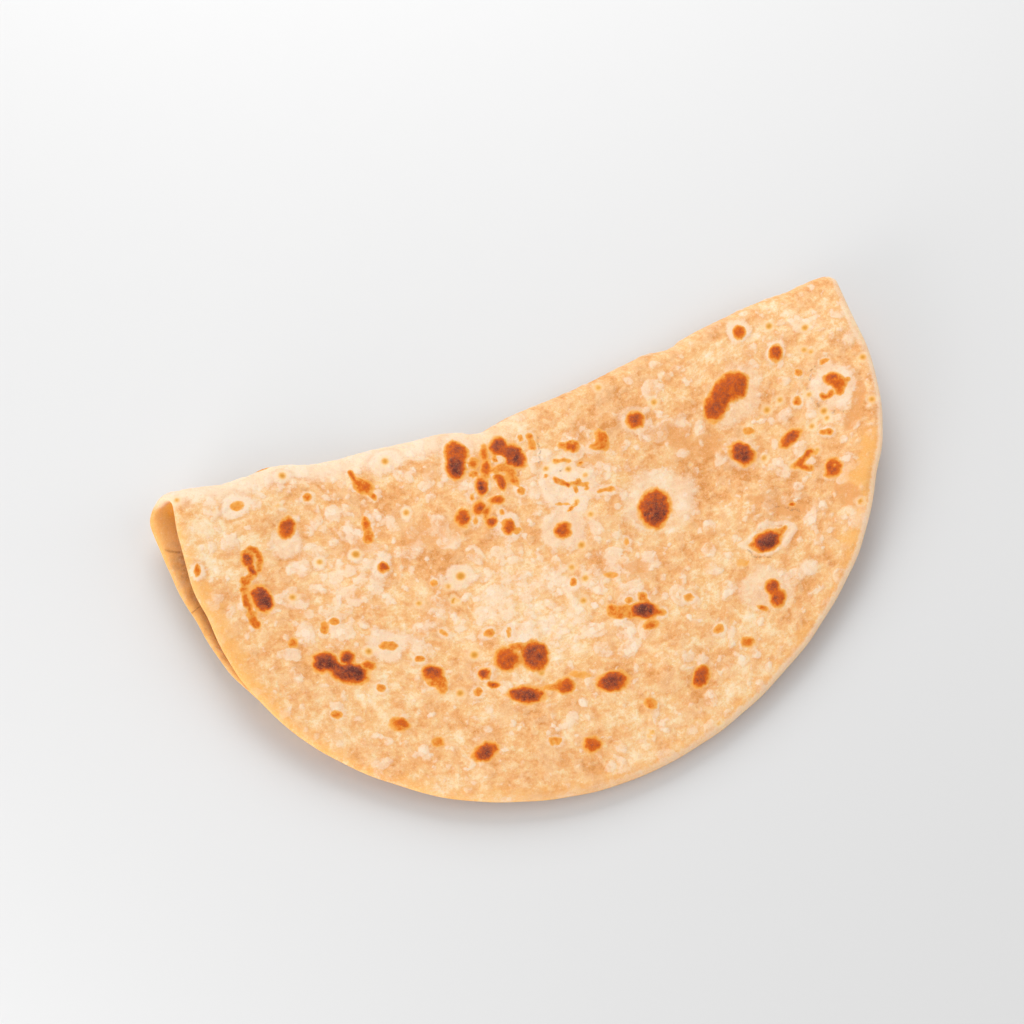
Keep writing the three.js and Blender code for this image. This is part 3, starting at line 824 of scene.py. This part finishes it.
def film_of(along, across):
    """The field whose high parts are thin pale skin, zero at the skins' edges."""
    warp, shift = drifts(along, across, FILM_DRIFT, FILM_DRIFT_SIZE, (71, 83))
    stretched = (across + shift) * LARGE_FILM_STRETCH
    large = mottle(along + warp, stretched, LARGE_FILM_SIZE, seed=3)
    stretched = (across + warp) * SMALL_FILM_STRETCH
    small = mottle(along + shift, stretched, SMALL_FILM_SIZE, seed=9, octaves=2)
    return np.maximum(large - LARGE_FILM_CUT, small - SMALL_FILM_CUT)


def flake_of(along, across):
    """How many millimetres inside a pale flake each point is, large or small, more so in clusters."""
    flaky = FLAKY_UNEVEN * (1.0 + mottle(along, across, FLAKY_SIZE, seed=93, octaves=2))
    flaky = np.clip(flaky + add_up(FLAKY_AREAS, along, across), FLAKY_LEAST, 1.0) - 0.5
    warp, shift = drifts(along, across, FLAKE_DRIFT, FLAKE_DRIFT_SIZE, (51, 53))
    large = scattered_flakes(along + warp, across + shift, **LARGE_FLAKES)
    small = scattered_flakes(along + shift, across + warp, **SMALL_FLAKES)
    return np.maximum(large + flaky, small + SMALL_FLAKE_CLUSTERING * flaky)


def toast_of(along, across):
    """Broad differences in how much heat the dough took, from about -1 to 1."""
    toast = TOAST_UNEVEN * mottle(along, across, TOAST_SIZE, seed=61)
    return toast + add_up(TOASTED_AREAS, along, across) * (across > 0)


def bake(along, across, from_rim, outer, seed):
    """What the finish reads at each point, and how domed the scorched blisters are."""
    upper_outside = outer & (across > 0.0)
    scorch, dome = scorch_of(along, across, SCORCHES, STREAKS)
    under, under_dome = scorch_of(along, across, random_marks(seed, UNDERSIDE_MARKS, -1))
    inner = scorch_of(along, across, random_marks(seed + 1, INNER_MARKS, -1))[0]
    inner = np.maximum(inner, scorch_of(along, across, random_marks(seed + 2, INNER_MARKS, 1))[0])
    dome = np.where(outer, np.maximum(dome, under_dome), 0.0)

    rings = [
        (at, over, long + SMALL_MARK_RING, wide + SMALL_MARK_RING, turn, SMALL_MARK_PALE)
        for at, over, long, wide, turn, dark in SCORCHES
        if long < SMALL_MARK and dark < SMALL_MARK_HEAT
    ]
    bare = [(*patch[:5], -patch[5]) for patch in BARE_PATCHES]
    skin_and_rim_light_inside, skin_and_rim_light_pale = pale_of(along, across, [*bare, *HALOS, *rings])
    # Painted light along the upper layer's rim, stored with the pale skins.
    in_rim_painted_light = RIM_PAINTED_LIGHT - from_rim
    rim_painted_light = RIM_PAINTED_LIGHT_AMOUNT * ease(0.5 + along / RIM_PAINTED_LIGHT_FADE)
    # The inner face's darker tan, partly painted shade under the upper layer, gives way near the rim and
    # the bend.
    pale_inner_rim = (1.0 - ease(from_rim / PALE_INNER_RIM)) * hump(across, PALE_INNER_RIM_LENGTH)

    crack, crack_near = crack_of(along, across)
    fields = {
        "scorch": np.where(outer, np.maximum(scorch, under), inner),
        "skin_and_rim_light_inside": np.where(upper_outside, np.maximum(skin_and_rim_light_inside, in_rim_painted_light), FAR_OUTSIDE),
        "skin_and_rim_light_pale": np.where(in_rim_painted_light > skin_and_rim_light_inside, rim_painted_light, skin_and_rim_light_pale),
        "pin": np.where(outer, pin_of(along, across), FAR_OUTSIDE),
        "crack": crack,
        "crack_near": np.where(outer == (across > 0.0), crack_near, FAR_FROM_CRACK),
        "film": film_of(along + np.where(outer, 0.0, INNER_FILM_SHIFT), across),
        "flake": np.where(outer, flake_of(along, across), FAR_OUTSIDE),
        "toast": toast_of(along, across),
        "golden": golden_of(along, across, from_rim, outer),
        "lip": np.where(upper_outside, lip_of(along, across), FAR_OUTSIDE),
        "speckled": outer * add_up(SPECKLED_AREAS, along, across),
        "inside": np.where(outer, 0.0, 1.0 - pale_inner_rim),
    }
    return fields, dome


def relief_of(along, across, from_rim, outer, dough, fields, dome):
    """How many millimetres each point stands proud of the plain sheet."""
    puffed = sum(
        rise * (1.0 - ease(np.hypot(along - at, across - over) / radius))
        for at, over, radius, rise in BLISTERS
    )
    edges = (  # a field, where it starts to rise and where it is up, and its part of the skin relief
        (fields["film"], 0.0, 0.12, 0.6),
        (fields["flake"], -0.2, 0.4, 1.0),
        (fields["skin_and_rim_light_inside"], 0.0, 0.9, 1.2 * fields["skin_and_rim_light_pale"]),
        (fields["lip"], -0.28, 0.42, 1.3),
    )
    skins = sum(part * ease((field - start) / (end - start)) for field, start, end, part in edges)
    skins = skins - CRACK_DEPTH * hump(fields["crack_near"], CRACK_WIDTH)
    relief = puffed + (dough.dome_relief * dome + dough.skin_relief * skins) / MM
    relief = relief + CRUMB_RELIEF * mottle(along, across, CRUMB_SIZE, seed=21)
    relief = relief * ease(from_rim / RELIEF_FADE)
    relief = np.where(outer & (across <= 0.0), np.minimum(relief, 0.0), relief)
    return np.where(outer, relief, INNER_RELIEF * np.minimum(relief, INNER_RELIEF_LIMIT))


def set_attribute(mesh, name, values, kind="FLOAT"):
    """Stores one value, or one vector, for each vertex."""
    attribute = mesh.attributes.new(name, kind, "POINT")
    field = "value" if kind == "FLOAT" else "vector"
    attribute.data.foreach_set(field, np.asarray(values, dtype=np.float32).ravel())


def base_middle(low, high):
    """The middle of a box's base, from the box's lowest and highest corner."""
    return np.array([(low[0] + high[0]) / 2.0, (low[1] + high[1]) / 2.0, low[2]])


def fold_origin():
    """Where the middle of the fold line lies in the part's frame, in millimetres."""
    columns, rows = (np.linspace(-1.0, 1.0, count) for count in (ORIGIN_COLUMNS, ORIGIN_ROWS))
    u, v = np.meshgrid(columns, row_place(rows))
    along, across, _ = on_sheet(u.ravel(), v.ravel())
    points = middle(along, across) + outward(along, across) * dough_thickness() / 2.0
    solid = base_middle(*(np.array(corner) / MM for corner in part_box(NODE)))
    return solid - base_middle(points.min(axis=0), points.max(axis=0))


def shape_bread(sheet, dough):
    """Rounds, folds and puffs the sheet, and stores what the finish reads."""
    mesh = sheet.data
    flat = np.empty(len(mesh.vertices) * 3)
    mesh.vertices.foreach_get("co", flat)
    u, v, w = flat.reshape(-1, 3).T
    outer = np.abs(w) < FLAT_THICKNESS / 2.0
    along, across, from_rim = on_sheet(np.clip(u, -1, 1), row_place(np.clip(v, -1, 1)))
    fields, dome = bake(along, across, from_rim, outer, dough.seed)

    rounding = np.clip(from_rim / RIM_ROUNDING, 0.0, 1.0)
    half = dough_thickness() / 2.0 * np.sqrt(np.clip(1.0 - (1.0 - rounding) ** 2, RIM_LEAST, 1.0))
    side = np.where(outer, 1.0, -1.0)
    proud = side * (half + relief_of(along, across, from_rim, outer, dough, fields, dome))
    points = middle(along, across) + outward(along, across) * proud[:, None] + fold_origin()
    mesh.vertices.foreach_set("co", (points * MM).ravel())
    mesh.update()

    place = np.stack([along, across, side * half], axis=-1)
    set_attribute(mesh, "dough_place", place, "FLOAT_VECTOR")
    for name in FIELDS:
        set_attribute(mesh, name, fields[name])
    return outer, from_rim


def thin_out_inside(sheet, outer, from_rim):
    """Fewer faces on the hidden inner face."""
    group = sheet.vertex_groups.new(name="inner_face")
    hidden = np.flatnonzero(~outer & (from_rim > INSIDE_KEPT_WHOLE))
    group.add(hidden.tolist(), 1.0, "REPLACE")
    share = len(hidden) / len(outer)
    apply_modifier(
        sheet,
        "DECIMATE",
        ratio=1.0 - share * (1.0 - INSIDE_KEPT),
        vertex_group=group.name,
        vertex_group_factor=INSIDE_THINNED_FIRST,
    )
    sheet.vertex_groups.clear()


def lay_ramp(socket, *stops):
    """Gives a colour ramp its stops, each a position and a colour."""
    elements = socket.node.color_ramp.elements
    while len(elements) < len(stops):
        elements.new(1.0)
    for element, (position, shade) in zip(elements, stops):
        element.position, element.color = position, linear(shade)


def griddled_wheat_dough(dough):
    """Griddle-baked wheat dough, flour-dry: a matt mottled cream with toasted scorch marks."""
    material, node = new_material("griddled_wheat_dough")
    stored = {name: node("Attribute", attribute_name=name, output="Fac") for name in FIELDS}
    place = node("Attribute", attribute_name="dough_place", output="Vector")
    along, across = node("SeparateXYZ", (place,)).node.outputs[:2]
    strokes = node("Mapping", {"Vector": place, "Rotation": (0, 0, -0.3), "Scale": (0.3, 1, 1)})

    # The place on the dough, bent by up to about a millimetre so that no pattern looks drawn.
    bent = node("TexNoise", {"Vector": place, "Scale": 1.0 / 1.8, "Detail": 2.0}, "Color")
    bent = node("VectorMath", (bent, (0.5, 0.5, 0.5)), operation="SUBTRACT")
    bent = node("VectorMath", (bent, (2.4, 2.4, 2.4), place), operation="MULTIPLY_ADD")

    noise = {}
    for name, where, size_mm, detail in (
        ("grain", place, 0.3, 1.0),
        ("crumb", place, 0.7, 2.0),
        ("blot", place, 1.5, 1.0),
        ("patch", place, 2.4, 3.0),
        ("cloud", place, 7.0, 3.0),
        ("tint", bent, 3.4, 3.0),
        ("stroke", strokes, 1.3, 2.0),
    ):
        pattern = {"Vector": where, "Scale": 1.0 / size_mm, "Detail": detail, "Roughness": 0.6}
        noise[name] = node("TexNoise", pattern)
    centred = {
        name: node("Math", (noise[name], 0.5), operation="SUBTRACT")
        for name in ("grain", "crumb", "blot", "patch", "cloud", "stroke")
    }

    def spots(spacing_mm, smallest, largest):
        """How many millimetres inside one of many scattered round spots a point is."""
        nearest = node("TexVoronoi", {"Vector": bent, "Scale": 1.0 / spacing_mm})
        pick = node("SeparateColor", (nearest.node.outputs["Color"],))
        sizes = (pick, largest - smallest, smallest)
        radius = node("Math", sizes, operation="MULTIPLY_ADD")
        return node("Math", (nearest, -spacing_mm, radius), operation="MULTIPLY_ADD")

    # Uneven heat: blotches a few millimetres wide with finer ones on them.
    baked = node("Math", (stored["toast"], -0.3, 0.5), operation="MULTIPLY_ADD")
    for name, amount in (("cloud", 1.15), ("patch", 1.12), ("crumb", 0.46), ("stroke", 0.34)):
        baked = node("Math", (centred[name], amount, baked), operation="MULTIPLY_ADD")
    ground = node("ValToRGB", {"Fac": baked})
    lay_ramp(
        ground,
        (0.08, dough.crust),
        (0.34, dough.toasted),
        (0.56, dough.dough),
        (0.78, dough.skin),
        (1.0, dough.flour),
    )

    # The scorch marks' heat, mottled inside them, and their colours.
    well_inside, at_mark = (
        node("MapRange", {"Value": stored["scorch"], "From Min": start, "From Max": end})
        for start, end in ((0.3, 0.7), (-0.1, 0.5))
    )
    heat = stored["scorch"]
    for name, where in (("blot", at_mark), ("crumb", at_mark), ("grain", well_inside)):
        uneven = node("Math", (centred[name], 0.45), operation="MULTIPLY")
        heat = node("Math", (uneven, where, heat), operation="MULTIPLY_ADD")
    shades = node("ValToRGB", {"Fac": heat})
    lay_ramp(
        shades,
        (0.06, dough.golden),
        (0.3, dough.amber),
        (0.46, dough.orange),
        (0.64, dough.rust),
        (0.84, dough.brown),
        (1.0, dough.char),
    )

    # Fields whose high parts a layer covers, most of them made ragged by the crumb.
    ragged = node("Math", (noise["crumb"], 0.8, -0.4), operation="MULTIPLY_ADD")
    film, flake, skin, crack = (
        node("Math", (ragged, amount, stored[name]), operation="MULTIPLY_ADD")
        for name, amount in (("film", 0.7), ("flake", 0.9), ("skin_and_rim_light_inside", 1.6), ("crack", 0.5))
    )
    crack = node("Math", (crack,), operation="ABSOLUTE")
    bead = node("Math", (stored["flake"], 0.5, spots(2.3, -1.0, 1.0)), operation="MULTIPLY_ADD")
    pin = node("Math", (spots(9.5, -2.6, 0.7), stored["pin"]), operation="MAXIMUM")
    specks = (stored["speckled"], 0.28, spots(1.5, -0.6, 0.14))
    speck = node("Math", specks, operation="MULTIPLY_ADD")
    # A painted highlight along the top of the fold, where it turns up to the light, laid in flour colour
    # on the fold's left half only.
    painted_ridge_highlight = node("Math", (across, 3.5), operation="SUBTRACT")
    painted_ridge_highlight = node("Math", (painted_ridge_highlight,), operation="ABSOLUTE")
    painted_ridge_highlight = node("Math", (noise["patch"], -5.0, painted_ridge_highlight), operation="MULTIPLY_ADD")
    golden = node("Math", (noise["tint"], stored["golden"]), operation="ADD")
    inner = node("Math", (noise["crumb"], 0.5, noise["patch"]), operation="MULTIPLY_ADD")
    # On the inner face: its tan, its mottle, and near the bend the painted glow of light through the
    # sheet.
    inner, inner_mottle, painted_loop_glow = (
        node("Math", (field, stored["inside"]), operation="MULTIPLY")
        for field in (inner, noise["blot"], golden)
    )

    # From the dough up: a field, where the layer starts and is full, how much it covers, its colour.
    layers = {
        # The inner face's darker tan, partly painted shade under the upper layer.
        "inside": (inner, 0.25, 0.95, 0.95, dough.inside),
        "inner mottle": (inner_mottle, 0.48, 0.66, 0.34, dough.bran),
        # Golden dough; on the inner face by the bend, this layer and the next are a painted glow of light
        # through the sheet.
        "golden": (golden, 0.5, 1.1, 0.85, dough.glow),
        "painted_loop_glow": (painted_loop_glow, 1.2, 1.9, 0.8, dough.painted_loop_glow),
        "film": (film, -0.15, 0.25, 0.3, dough.skin),
        "bare": (skin, -0.6, 0.6, 0.82, dough.bare),
        # Painted shadow in a ring round each raised flake, in toasted colour.
        "flake painted shadow": (flake, -0.6, -0.1, 0.34, dough.toasted),
        "flake": (flake, -0.28, 0.32, 0.92, dough.flour),
        "bead": (bead, -0.25, 0.3, 0.6, dough.flour),
        # Painted highlight along the fold's top.
        "painted_ridge_highlight": (painted_ridge_highlight, 4.5, 0.0, 0.66, dough.flour),
        # A darker ring round each pale skin, in crust colour: partly a tan edge, partly painted shadow
        # under the raised skin's edge.
        "skin edge painted shadow": (skin, -1.3, -0.4, 0.3, dough.crust),
        # Pale blister skins, and the painted light along the upper layer's rim, in flour colour.
        "skin": (skin, -0.6, 0.6, 0.82, dough.flour),
        "lip": (stored["lip"], -0.3, 0.35, 0.5, dough.flour),
        # Cracks, and the painted shadow line below the raised lip, in bran colour.
        "crack": (crack, 0.5, 0.05, 0.8, dough.bran),
        "grit": (noise["grain"], 0.43, 0.23, 0.28, dough.crust),
        "flour": (noise["grain"], 0.57, 0.78, 0.36, dough.flour),
        "speck": (speck, 0.0, 0.12, 0.5, dough.bran),
        "pin ring": (pin, -1.6, -0.6, 0.5, dough.skin),
        "pin glow": (pin, -0.7, 0.1, 0.9, dough.golden),
        "pin": (pin, -0.3, 0.55, 0.95, dough.mustard),
        "heat": (heat, -0.02, 0.24, 1.0, shades),
        "ember": (noise["grain"], 0.58, 0.74, 0.55, dough.ember),
    }
    helpers = {
        "worn": (noise["tint"], 0.3, 0.6, 0.68),
        "crack near": (stored["crack_near"], 0.9, 0.5, 1.0),
    }
    soft = {}
    for name, (field, start, end, amount, *_) in (layers | helpers).items():
        ends = {"Value": field, "From Min": start, "From Max": end, "To Max": amount}
        soft[name] = node("MapRange", ends, interpolation_type="SMOOTHSTEP")

    # What holds a layer back: each is multiplied by what stands beside it.
    bare = node("Math", (stored["skin_and_rim_light_pale"], -1.2), operation="MULTIPLY")
    crumbled = {"Value": noise["crumb"], "From Min": 0.46, "From Max": 0.6, "To Max": 0.6}
    crumbled = node("MapRange", crumbled)
    whole = node("Math", (stored["inside"], 0.7), operation="MULTIPLY")
    crumbled = node("Math", (crumbled, whole), operation="MAXIMUM")
    outer = node("Math", (1.0, stored["inside"]), operation="SUBTRACT")
    # The painted highlight along the fold fades out towards the right of the middle.
    to_the_left = node("MapRange", {"Value": along, "From Min": 12.0, "From Max": -20.0})
    for name, part in (
        ("flake", soft["worn"]),
        ("ember", well_inside),
        ("bare", bare),
        ("skin edge painted shadow", stored["skin_and_rim_light_pale"]),
        ("skin", stored["skin_and_rim_light_pale"]),
        ("crack", soft["crack near"]),
        ("crack", crumbled),
        ("painted_ridge_highlight", outer),
        ("painted_ridge_highlight", to_the_left),
    ):
        soft[name] = node("Math", (soft[name], part), operation="MULTIPLY", use_clamp=True)
    rough = node("Math", (soft["golden"], soft["bare"]), operation="MAXIMUM")
    rough = node("Math", (rough, -0.8, 1.0), operation="MULTIPLY_ADD")
    for name in ("film", "flake painted shadow", "flake", "bead"):
        soft[name] = node("Math", (soft[name], rough), operation="MULTIPLY")

    colour = ground
    for name, (*_, shade) in layers.items():
        above = linear(shade) if isinstance(shade, str) else shade
        mixed = {0: soft[name], MIX_BELOW: colour, MIX_ABOVE: above}
        colour = node("Mix", mixed, MIX_COLOUR, data_type="RGBA")

    height = node("Math", (noise["crumb"], 0.6), operation="MULTIPLY")
    for name, amount in (("film", 0.6), ("flake", 0.5), ("bead", 0.6), ("flour", 0.2)):
        height = node("Math", (soft[name], amount, height), operation="MULTIPLY_ADD")
    bump = node("Bump", {"Height": height, "Strength": 0.6, "Distance": 0.25 * MM})
    sheen = node("MapRange", {"Value": heat, "From Min": 0.5, "To Min": 0.75, "To Max": 0.5})
    finish = {
        "Base Color": colour,
        "Roughness": sheen,
        "Normal": bump,
        "IOR": 1.45,
        "Specular IOR Level": 0.18,
        "Subsurface Weight": 0.18,
        "Subsurface Radius": (1.0, 0.5, 0.2),
        "Subsurface Scale": 2.0 * MM,
    }
    node("OutputMaterial", {"Surface": node("BsdfPrincipled", finish)})
    return material


class CHAPATI_OT_bread(bpy.types.Operator):
    """Rolls, folds and bakes the chapati"""

    bl_idname = "chapati.bread"
    bl_label = "Bake Chapati"

    def execute(self, context):
        dough = context.scene.chapati_dough
        bread = roll_sheet()
        bread.name = bread.data.name = "folded_chapati"
        outer, from_rim = shape_bread(bread, dough)
        thin_out_inside(bread, outer, from_rim)
        only(bread)
        bpy.ops.object.shade_smooth()
        bread.data.materials.append(griddled_wheat_dough(dough))
        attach(bread, "root")
        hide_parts(NODE)
        return {"FINISHED"}


# ---- The stage ----------------------------------------------------------------------------------

WHITE = "#FFFFFF"
TABLE_SIZE = 8.0
TABLE_GRAINS = 0.9 / MM  # in each metre, so its grain is about 1.1 mm


def matt_table(stage):
    """Matt white laminate, so pale that only shadows show on it."""
    material, node = new_material("matt_white_laminate")
    speck = node("TexNoise", {"Scale": TABLE_GRAINS, "Detail": 2.0})
    speck = node("MapRange", {"Value": speck, "To Min": 0.6, "To Max": 0.75})
    finish = {"Base Color": linear(stage.table), "Roughness": speck, "Specular IOR Level": 0.2}
    node("OutputMaterial", {"Surface": node("BsdfPrincipled", finish)})
    return material


def soft_light(name, place, aim, size, power):
    """A square area light at place, turned to aim."""
    data = bpy.data.lights.new(name, "AREA")
    data.size, data.energy = size, power
    light = bpy.data.objects.new(name, data)
    light.location = place
    light.rotation_euler = (Vector(aim) - Vector(place)).to_track_quat("-Z", "Y").to_euler()
    bpy.context.scene.collection.objects.link(light)


class CHAPATI_OT_stage(bpy.types.Operator):
    """Lays the table and sets the lights and the camera"""

    bl_idname = "chapati.stage"
    bl_label = "Set Stage"

    def execute(self, context):
        stage = context.scene.chapati_stage
        bpy.ops.object.select_all(action="DESELECT")
        bpy.ops.mesh.primitive_plane_add(size=TABLE_SIZE)
        table = bpy.context.active_object
        table.name = "table"
        table.data.materials.append(matt_table(stage))

        world = bpy.data.worlds.new("white_room")
        world.use_nodes = True
        background = world.node_tree.nodes["Background"].inputs
        background["Color"].default_value = linear(WHITE)
        background["Strength"].default_value = stage.room
        context.scene.world = world
        middle_of_table = (0.0, 0.0, 0.0)
        for name, place, aim, size, power in (
            ("window", (0.04, 0.54, 0.42), middle_of_table, 0.5, stage.window),
            ("left fill", (-0.72, -0.34, 0.3), middle_of_table, 0.6, 0.6 * stage.fill),
            ("side light", (-0.44, -0.24, 0.12), (-0.1, 0.05, 0.01), 0.3, stage.side),
            ("right fill", (0.75, -0.3, 0.55), middle_of_table, 0.7, 1.5 * stage.fill),
        ):
            soft_light(name, place, aim, size, power)

        camera_data = bpy.data.cameras.new("camera")
        camera_data.lens = stage.lens
        camera = bpy.data.objects.new("camera", camera_data)
        context.scene.collection.objects.link(camera)
        a, e = stage.azimuth, stage.elevation
        back = Vector((math.sin(a) * math.cos(e), -math.cos(a) * math.cos(e), math.sin(e)))
        aim = Vector(fold_origin() * MM) + Vector(stage.target)
        camera.location = aim + back * stage.distance
        camera.rotation_euler = (-back).to_track_quat("-Z", "Y").to_euler()
        context.scene.camera = camera
        context.scene.view_settings.view_transform = "Standard"
        return {"FINISHED"}


class CHAPATI_PT_panel(bpy.types.Panel):
    """Lists the bread's and the stage's steps"""

    bl_idname = "CHAPATI_PT_panel"
    bl_label = "Chapati"
    bl_space_type = "VIEW_3D"
    bl_region_type = "UI"
    bl_category = "Chapati"

    def draw(self, context):
        for group, operator in (
            (context.scene.chapati_dough, CHAPATI_OT_bread),
            (context.scene.chapati_stage, CHAPATI_OT_stage),
        ):
            box = self.layout.box()
            for name in group.__annotations__:
                box.prop(group, name)
            box.operator(operator.bl_idname)


CLASSES = (ChapatiDough, ChapatiStage, CHAPATI_OT_bread, CHAPATI_OT_stage, CHAPATI_PT_panel)


def register():
    """Gives Blender the classes and the scene its sizes and colours."""
    for cls in CLASSES:
        bpy.utils.register_class(cls)
    bpy.types.Scene.chapati_dough = PointerProperty(type=ChapatiDough)
    bpy.types.Scene.chapati_stage = PointerProperty(type=ChapatiStage)


def unregister():
    """Takes both away again."""
    del bpy.types.Scene.chapati_stage
    del bpy.types.Scene.chapati_dough
    for cls in reversed(CLASSES):
        bpy.utils.unregister_class(cls)


def main():
    """Builds the bread and its stage."""
    register()
    bpy.ops.chapati.bread()
    bpy.ops.chapati.stage()


if __name__ == "__main__":
    main()
